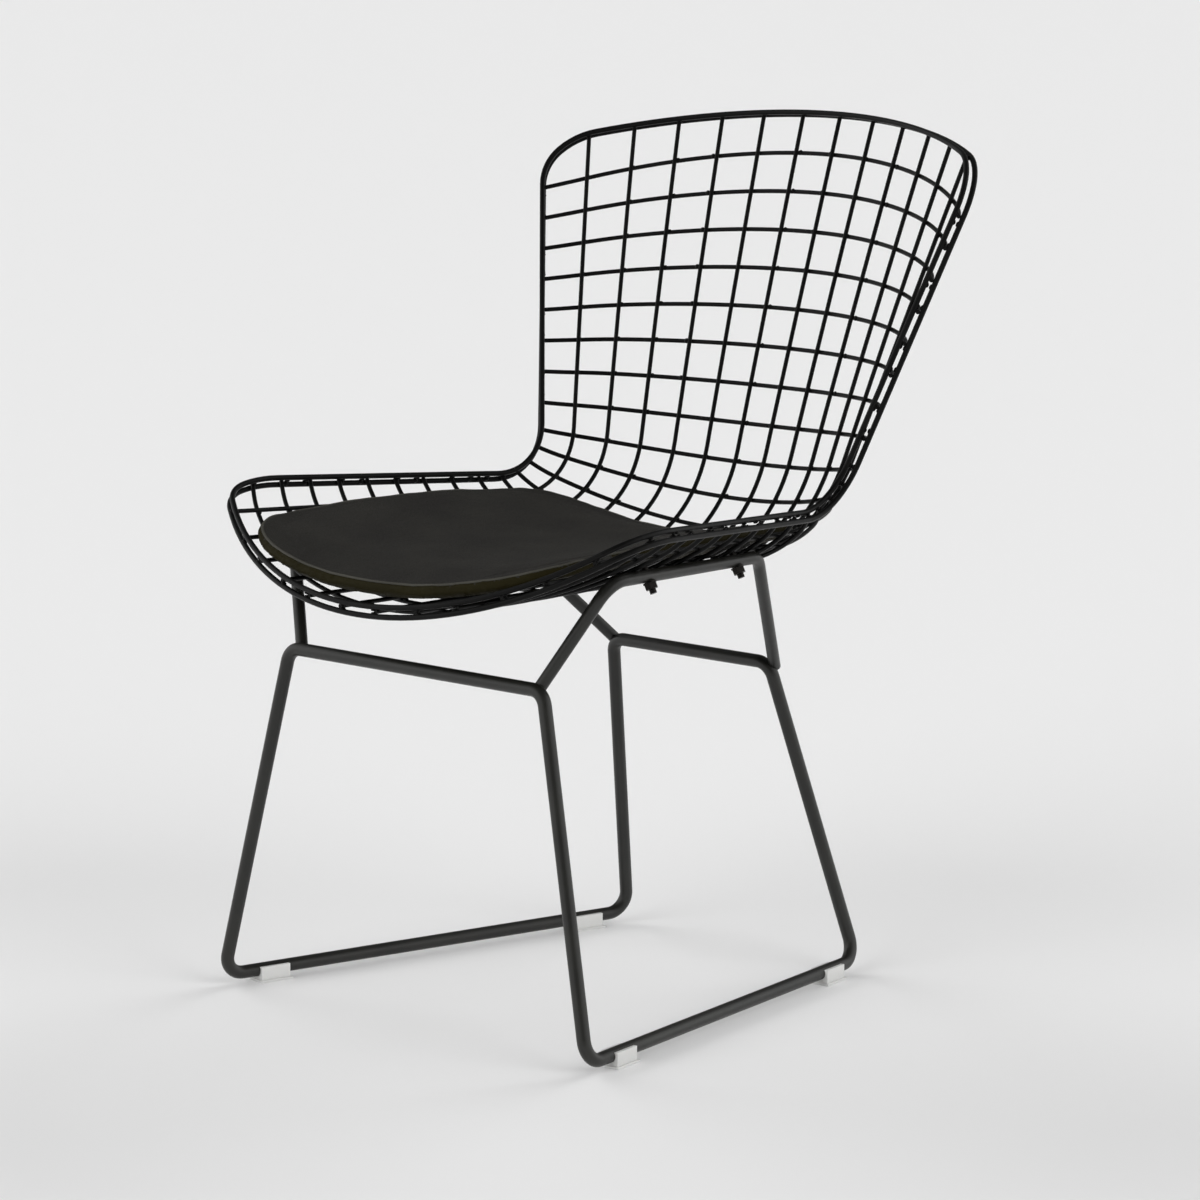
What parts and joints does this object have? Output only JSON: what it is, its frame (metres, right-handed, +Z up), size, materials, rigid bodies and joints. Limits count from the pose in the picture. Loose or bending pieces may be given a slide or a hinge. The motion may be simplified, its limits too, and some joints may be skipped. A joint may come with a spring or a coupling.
{
  "type": "wire side chair",
  "caption": "Armless side chair with a welded wire basket seat and back on a bent rod sled base, with a thin dark seat pad.",
  "frame": {"origin": "on the floor, under the middle of the chair's box", "axes": "+Z up, -Y towards the front edge of the seat, +X towards the sitter's left"},
  "size_m": [0.5253, 0.605, 0.7752],
  "materials": {
    "black_coat": "satin",
    "blackened_hardware": "satin",
    "clear_plastic": "gloss",
    "pad_cover": "matte",
    "pad_foam": "matte"
  },
  "bodies": {
    "root": {"base_rod_left": "black_coat", "base_rod_right": "black_coat", "clamp_bolts": "blackened_hardware", "clamp_nuts": "blackened_hardware", "clamp_plates": "black_coat", "clamp_washers": "blackened_hardware", "cross_wire_01": "black_coat", "cross_wire_02": "black_coat", "cross_wire_03": "black_coat", "cross_wire_04": "black_coat", "cross_wire_05": "black_coat", "cross_wire_06": "black_coat", "cross_wire_07": "black_coat", "cross_wire_08": "black_coat", "cross_wire_09": "black_coat", "cross_wire_10": "black_coat", "cross_wire_11": "black_coat", "cross_wire_12": "black_coat", "cross_wire_13": "black_coat", "cross_wire_14": "black_coat", "cross_wire_15": "black_coat", "cross_wire_16": "black_coat", "cross_wire_17": "black_coat", "cross_wire_18": "black_coat", "cross_wire_19": "black_coat", "cross_wire_20": "black_coat", "cross_wire_21": "black_coat", "cross_wire_22": "black_coat", "glide_front_left": "clear_plastic", "glide_front_right": "clear_plastic", "glide_rear_left": "clear_plastic", "glide_rear_right": "clear_plastic", "inner_rim": "black_coat", "long_wire_01": "black_coat", "long_wire_02": "black_coat", "long_wire_03": "black_coat", "long_wire_04": "black_coat", "long_wire_05": "black_coat", "long_wire_06": "black_coat", "long_wire_07": "black_coat", "long_wire_08": "black_coat", "long_wire_09": "black_coat", "long_wire_10": "black_coat", "long_wire_11": "black_coat", "long_wire_12": "black_coat", "outer_rim": "black_coat", "pad_cover": "pad_cover", "pad_foam": "pad_foam", "support_rod_left": "black_coat", "support_rod_right": "black_coat"}
  },
  "joints": []
}
